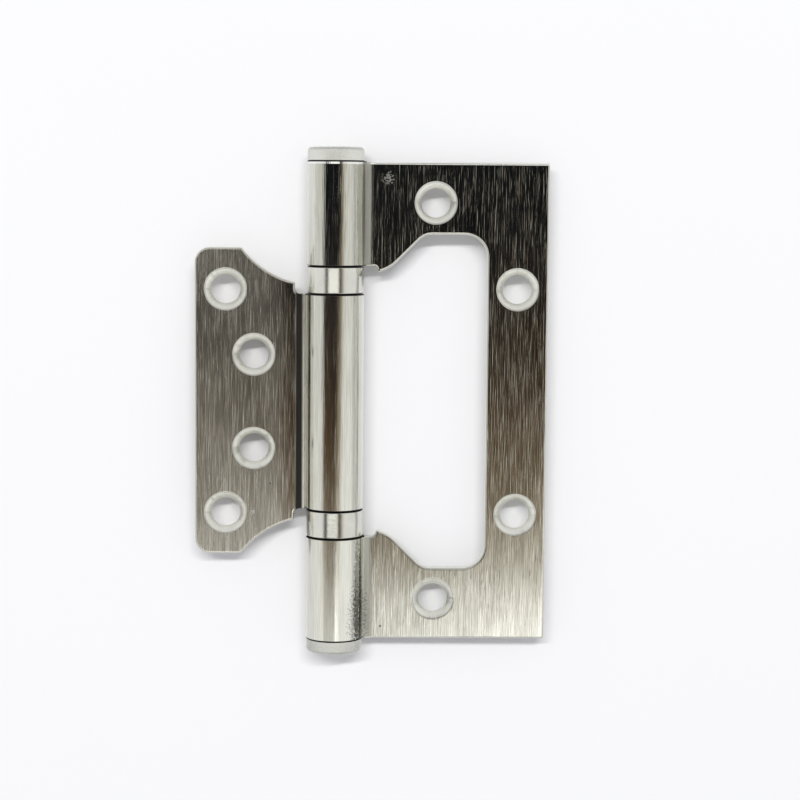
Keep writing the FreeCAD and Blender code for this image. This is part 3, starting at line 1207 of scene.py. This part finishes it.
@dataclass(frozen=True)
class Room:
    """The room's light, and what the steel mirrors of it.

    Angles are in degrees, from straight up: across the pin towards the outer leaf, and along the
    pin towards its top. The dark patch overhead is darkest in its core, ends in dusk towards the
    bottom of the hinge and towards its right, and narrows downwards. A bright panel hangs in it,
    and two dark posts stand opposite.
    """

    light: Colour = (0.53, 0.53, 0.56)
    backdrop: Colour = (0.97, 0.97, 0.97)
    high_wall: Colour = (0.8, 0.8, 0.8)
    upper_wall: Colour = (0.72, 0.72, 0.7)
    lower_wall: Colour = (0.97, 0.97, 0.97)
    left_dim: float = 0.08
    right_dim: float = 0.35
    foot_wall: Colour = (0.85, 0.85, 0.85)
    half_lit: Colour = (0.3, 0.245, 0.175)
    panel: Colour = (0.97, 0.97, 0.94)
    post: Colour = (0.03, 0.03, 0.03)
    left: float = -49.0
    left_lift: float = 5.0
    right: float = 34.0
    right_drift: float = 1.6
    soft_left: float = 9.0
    soft_right: float = 9.0
    dusk_right: float = 24.0
    dusk_drift: float = 2.65
    dusk_soft: float = 7.0
    panel_left: float = -31.0
    panel_right: float = 15.0
    panel_low: float = 14.0
    panel_high: float = 38.0
    panel_soft: float = 1.5
    post_width: float = 11.0
    post_low: float = -64.0
    post_high: float = -18.0
    core_left: float = -19.0
    core_drift: float = 0.8
    core_widening: float = 20.0
    core_right: float = 3.2
    core_soft: float = 6.0
    low_end: float = -12.0
    high_start: float = -1.0
    high_end: float = 56.0
    soft_high: float = 4.0
    foot: float = -62.0
    foot_soft: float = 12.0
    overhead: tuple[tuple[float, Colour], ...] = (
        (-11.3, (1.75, 1.75, 1.75)),
        (-10.9, (1.27, 1.25, 1.18)),
        (-10.2, (0.7, 0.66, 0.58)),
        (-9.5, (0.34, 0.275, 0.195)),
        (-8.5, (0.105, 0.057, 0.022)),
        (-6.8, (0.078, 0.04, 0.015)),
        (-5.0, (0.045, 0.028, 0.015)),
        (-3.0, (0.015, 0.013, 0.012)),
        (-1.0, (0.003, 0.005, 0.007)),
    )
    core: tuple[tuple[float, Colour], ...] = (
        (-12.0, (0.8, 0.8, 0.78)),
        (-11.2, (0.64, 0.62, 0.57)),
        (-10.1, (0.15, 0.125, 0.09)),
        (-9.4, (0.2, 0.16, 0.11)),
        (-7.7, (0.08, 0.045, 0.021)),
        (-5.7, (0.03, 0.018, 0.012)),
        (-3.0, (0.013, 0.011, 0.011)),
        (-1.0, (0.005, 0.006, 0.007)),
    )

    def shades(self, graph: Graph, along: Term, stops: tuple[tuple[float, Colour], ...]) -> Term:
        """Colours that change along the pin.

        Args:
            graph: The world's graph.
            along: Angle along the pin.
            stops: Angle and colour of each stop, from low to high.

        Returns:
            The colour, as a term.
        """
        span = self.high_start - self.low_end
        placed_stops = [((angle - self.low_end) / span, colour) for angle, colour in stops]
        share = (along - self.low_end) / span
        return graph.term("ShaderNodeValToRGB", {"stops": placed_stops}, {0: share})

    def build(self) -> None:
        """Make the world."""
        world = bpy.data.worlds.new("pale room")
        bpy.context.scene.world = world
        world.use_nodes = True
        graph = Graph(world.node_tree)
        x, y, z = graph.split(graph.term("ShaderNodeTexCoord", output="Generated"))
        across = x.maths("ARCTAN2", x, z) * math.degrees(1)
        along = y.maths("ARCSINE", y) * math.degrees(1)
        lower = along.maths("MINIMUM", along - self.high_start, 0.0)
        core = across - lower * self.core_drift
        core = core + (1 - along.ramp(-11.2, -9.4)) * self.core_widening
        in_core = core.ramp(self.core_left - self.core_soft, self.core_left + self.core_soft)
        in_core = in_core * (1 - across.ramp(self.core_right - 2.5, self.core_right + 2.5))
        overhead = self.shades(graph, along, self.overhead)
        overhead = graph.mix(in_core, overhead, self.shades(graph, along, self.core))
        dusk = across - lower * self.dusk_drift
        dusk = dusk.ramp(self.dusk_right - self.dusk_soft, self.dusk_right + self.dusk_soft)
        overhead = graph.mix(dusk, overhead, self.half_lit, "LIGHTEN")
        patch = across - lower * self.right_drift
        patch = 1 - patch.ramp(self.right - self.soft_right, self.right + self.soft_right)
        leftward = across - along.ramp(0, 8) * self.left_lift
        patch = patch * leftward.ramp(self.left - self.soft_left, self.left + self.soft_left)
        patch = patch * (1 - along.ramp(self.high_end - self.soft_high, self.high_end + self.soft_high))
        wall = graph.mix(1 - along.ramp(self.low_end, self.high_start), self.upper_wall, self.lower_wall)
        dim = (1 - across.ramp(-40, -10)) * self.left_dim + across.ramp(70, 84) * self.right_dim
        wall = graph.mix(dim, wall, (0.0, 0.0, 0.0))
        wall = graph.mix(along.ramp(2, 10), wall, self.high_wall)
        mirrored = graph.mix(patch, wall, overhead)
        foot = 1 - along.ramp(self.foot - self.foot_soft, self.foot + self.foot_soft)
        mirrored = graph.mix(foot, mirrored, self.foot_wall)
        panel = across.between(self.panel_left, self.panel_right, self.panel_soft)
        panel = panel * along.between(self.panel_low, self.panel_high, self.panel_soft)
        mirrored = graph.mix(panel, mirrored, self.panel)
        posts = across.between(self.panel_left - self.post_width, self.panel_left, self.panel_soft)
        posts = posts + across.between(self.panel_right, self.panel_right + self.post_width, self.panel_soft)
        posts = posts * along.between(self.post_low, self.post_high, self.panel_soft)
        mirrored = graph.mix(posts, mirrored, self.post)
        path = graph.node("ShaderNodeLightPath")
        colour = graph.mix(path.outputs["Is Glossy Ray"], self.light, mirrored)
        colour = graph.mix(path.outputs["Is Camera Ray"], colour, self.backdrop)
        lit = graph.node("ShaderNodeBackground", inputs={"Color": colour, "Strength": 1.0})
        graph.node("ShaderNodeOutputWorld", inputs={0: lit.outputs[0]})


@dataclass(frozen=True)
class Studio:
    """The table, the lamp and the camera."""

    table_height: float
    table_half: float = 2.0
    table_tone: Colour = (0.93, 0.93, 0.93)
    # The table as the steel mirrors it, darker than it is: a painted shade.
    mirrored_table: Colour = (0.81, 0.81, 0.81)
    lamp_across: float = math.radians(-3)
    lamp_along: float = math.radians(21)
    lamp_distance: float = 2.5
    lamp_width: float = 1.7
    lamp_height: float = 0.12
    lamp_watts: float = 37.0
    camera_place: Colour = (5.74 * MM, 46.27 * MM, 460.62 * MM)
    camera_turn: Colour = (-5.69, -1.0, 0.351)
    camera_pixels: float = 2176.0

    def table(self) -> None:
        """Make the pale table."""
        model = bmesh.new()
        bmesh.ops.create_grid(model, x_segments=1, y_segments=1, size=self.table_half)
        bmesh.ops.translate(model, verts=model.verts[:], vec=(0, 0, self.table_height))
        mesh = bpy.data.meshes.new("table")
        model.to_mesh(mesh)
        model.free()
        paint = bpy.data.materials.new("table paint")
        paint.use_nodes = True
        graph = Graph(paint.node_tree)
        place = graph.term("ShaderNodeTexCoord", output="Object")
        cloud = graph.noise(place, (9, 9, 9), 2)
        tone = tuple(part * 0.985 for part in self.table_tone)
        colour = graph.mix(cloud, tone, self.table_tone)
        path = graph.node("ShaderNodeLightPath")
        # Painted shade in reflections: the steel mirrors the table darker than it is, standing for the table in the
        # hinge's shadow.
        colour = graph.mix(path.outputs["Is Glossy Ray"], colour, self.mirrored_table)
        surface = graph.node("ShaderNodeBsdfDiffuse", inputs={"Color": colour})
        graph.node("ShaderNodeOutputMaterial", inputs={0: surface.outputs[0]})
        mesh.materials.append(paint)
        shown("table", mesh)

    def lamp(self) -> None:
        """Make the soft lamp beyond the hinge's top end."""
        data = bpy.data.lights.new("soft lamp", "AREA")
        data.shape = "RECTANGLE"
        data.size, data.size_y = self.lamp_width, self.lamp_height
        data.energy = self.lamp_watts
        lamp = bpy.data.objects.new("soft lamp", data)
        lamp.visible_glossy = False
        bpy.context.scene.collection.objects.link(lamp)
        flat = math.cos(self.lamp_along)
        way = Vector((math.sin(self.lamp_across) * flat, math.sin(self.lamp_along), math.cos(self.lamp_across) * flat))
        lamp.location = way * self.lamp_distance
        lamp.rotation_euler = way.to_track_quat("Z", "Y").to_euler()

    def camera(self) -> None:
        """Make the camera, which looks down on the open hinge."""
        data = bpy.data.cameras.new("camera")
        data.sensor_width = SENSOR_WIDTH
        data.lens = SENSOR_WIDTH * self.camera_pixels / PICTURE_WIDTH
        data.clip_start, data.clip_end = 0.01, 20
        camera = bpy.data.objects.new("camera", data)
        bpy.context.scene.collection.objects.link(camera)
        turn = Matrix.Identity(4)
        for angle, axis in zip(self.camera_turn, "XYZ"):
            turn = turn @ Matrix.Rotation(math.radians(angle), 4, axis)
        camera.matrix_world = Matrix.Translation(self.camera_place) @ turn
        bpy.context.scene.camera = camera

    def build(self) -> None:
        """Make the studio."""
        bpy.context.scene.view_settings.view_transform = "Standard"
        self.table()
        self.lamp()
        self.camera()


def holes_of(mounts: dict[str, Any], leaf: str) -> Holes:
    """Screw holes of a leaf, from the record.

    Args:
        mounts: The record's mounts by name.
        leaf: The leaf's short name.

    Returns:
        Its holes.
    """
    far, near = mounts[f"{leaf}_far_screws"], mounts[f"{leaf}_near_screws"]
    return Holes(
        radius=far["dims"]["hole_r_mm"] * MM,
        far_reach=abs(far["pos_m"][0]),
        far_spacing=far["dims"]["spacing_y_mm"] * MM,
        near_reach=abs(near["pos_m"][0]),
        near_spacing=near["dims"]["spacing_y_mm"] * MM,
    )


def main() -> None:
    """Build the hinge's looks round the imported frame."""
    logging.basicConfig(level=logging.INFO, format="%(name)s: %(message)s")
    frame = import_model()
    mounts = {mount["name"]: mount for mount in frame["record"]["mounts"]}
    leaf_low, leaf_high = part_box("outer_leaf")
    inner_low, inner_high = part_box("inner_leaf")
    case_low, case_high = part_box("upper_bearing_case")
    case_gap = 0.2 * MM
    sheet = Sheet(thickness=-2 * mounts["outer_leaf_back"]["pos_m"][2], knuckle_radius=-leaf_low.z)

    outer_steel = BrushedSteel(
        "brushed steel, outer leaf",
        tone=(0.92, 0.92, 0.84),
        shade=(0.57, 0.56, 0.49),
        half_sheet=sheet.half,
        joints=Joints((case_high.y + case_gap, leaf_high.y)),
        flat_roughness=0.095,
        stroke_depth=0.018 * MM,
        bright_marks=(Mark(11.0 * MM, 47.3 * MM, 0.9 * MM, 1.1 * MM, 0.7, 12.0),),
        # The painted highlight along the top edge starts 0.6 mm below it.
        top_highlight_from=leaf_high.y - 0.6 * MM,
        # A dark speck. The rest is painted shade: dark streaks along the seam beside the barrel, down the barrel's
        # right side and at the foot of the bend.
        dark_specks_and_shade=(
            Mark(9.9 * MM, -48.2 * MM, 0.25 * MM, 0.25 * MM, 0.8),
            Mark(5.8 * MM, 40.0 * MM, 0.27 * MM, 16.0 * MM, 0.68, 0.6),
            Mark(5.62 * MM, -40.0 * MM, 0.3 * MM, 16.0 * MM, 0.7, 0.6),
            Mark(5.1 * MM, 40.0 * MM, 0.7 * MM, 15.0 * MM, 0.22, 1.0),
            Mark(4.95 * MM, -42.0 * MM, 0.85 * MM, 16.0 * MM, 0.58, 3.0),
            Mark(4.9 * MM, -47.0 * MM, 1.8 * MM, 8.0 * MM, 0.3, 6.0),
            Mark(7.0 * MM, -46.0 * MM, 0.6 * MM, 4.5 * MM, 0.2, 6.0),
        ),
    )
    inner_steel = BrushedSteel(
        "brushed steel, inner leaf",
        tone=(0.94, 0.92, 0.82),
        shade=(0.6, 0.58, 0.5),
        half_sheet=sheet.half,
        joints=Joints((case_low.y - case_gap,)),
        flat_roughness=0.19,
        bent_roughness=0.3,
        bent_end=6.6 * MM,
        # painted shade along the crease
        crease_shade=0.96,
        rise=50.0,
        bright_marks=(Mark(-17.3 * MM, -23.6 * MM, 0.4 * MM, 0.5 * MM, 0.7),),
        dark_specks_and_shade=(Mark(-13.7 * MM, -17.5 * MM, 0.2 * MM, 0.3 * MM, 0.8),),
    )
    satin = TurnedMetal("turned steel", (0.87, 0.87, 0.8), (0.78, 0.78, 0.71), 0.28,
                        ring_depth=0.012 * MM, lean=math.radians(34), outward=True,
                        joints=Joints((leaf_high.y,)))
    bright = TurnedMetal("bright turned steel", (0.85, 0.85, 0.78), (0.76, 0.75, 0.69), 0.12,
                         ring_depth=0.01 * MM, lean=math.radians(14), joints=Joints((case_low.y, case_high.y)))
    # Painted shade on the pin and the races, where they show through the gaps between knuckles and cases.
    gaps = Joints((case_low.y - case_gap / 2, case_high.y + case_gap / 2), 0.4 * MM)
    ground = TurnedMetal("ground steel", (0.6, 0.6, 0.6), (0.5, 0.5, 0.5), 0.3, joints=gaps)
    hardened = TurnedMetal("hardened steel", (0.75, 0.75, 0.76), (0.66, 0.66, 0.67), 0.12, joints=gaps)
    brass = TurnedMetal("pressed brass", (0.78, 0.6, 0.3), (0.66, 0.49, 0.23), 0.32)

    OuterLeaf(
        OuterOutline(leaf_high.x, leaf_high.y, case_high.y + case_gap),
        name="outer_leaf",
        side=Side.PLUS,
        sheet=sheet,
        holes=holes_of(mounts, "outer"),
        finish=outer_steel,
    ).build()
    InnerLeaf(
        InnerOutline(-inner_low.x, inner_high.y, case_low.y - case_gap),
        name="inner_leaf",
        side=Side.MINUS,
        sheet=sheet,
        holes=holes_of(mounts, "inner"),
        finish=inner_steel,
    ).build()
    tip_low, tip_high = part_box("top_tip")
    Tips(
        radius=tip_high.x,
        seat=leaf_high.y,
        end=tip_high.y,
        foot=tip_low.y,
        spigot_radius=sheet.knuckle_radius - sheet.thickness - 0.01 * MM,
        finish=satin,
    ).build()
    ball_low, ball_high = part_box("upper_ball_1")
    for side in Side:
        Bearing(
            side=side,
            bottom=case_low.y,
            top=case_high.y,
            case_radius=case_high.x,
            wall=0.45 * MM,
            ball_radius=(ball_high.y - ball_low.y) / 2,
            ball_circle=(ball_high.x + ball_low.x) / 2,
            ball_count=12,
            middle=(ball_high.y + ball_low.y) / 2,
            case_finish=bright,
            ball_finish=hardened,
            race_finish=hardened,
            cage_finish=brass,
        ).build(frame["nodes"])
    dress(frame["nodes"]["hinge_pin"], ground)

    Room().build()
    Studio(table_height=leaf_low.z).build()


if __name__ == "__main__":
    main()
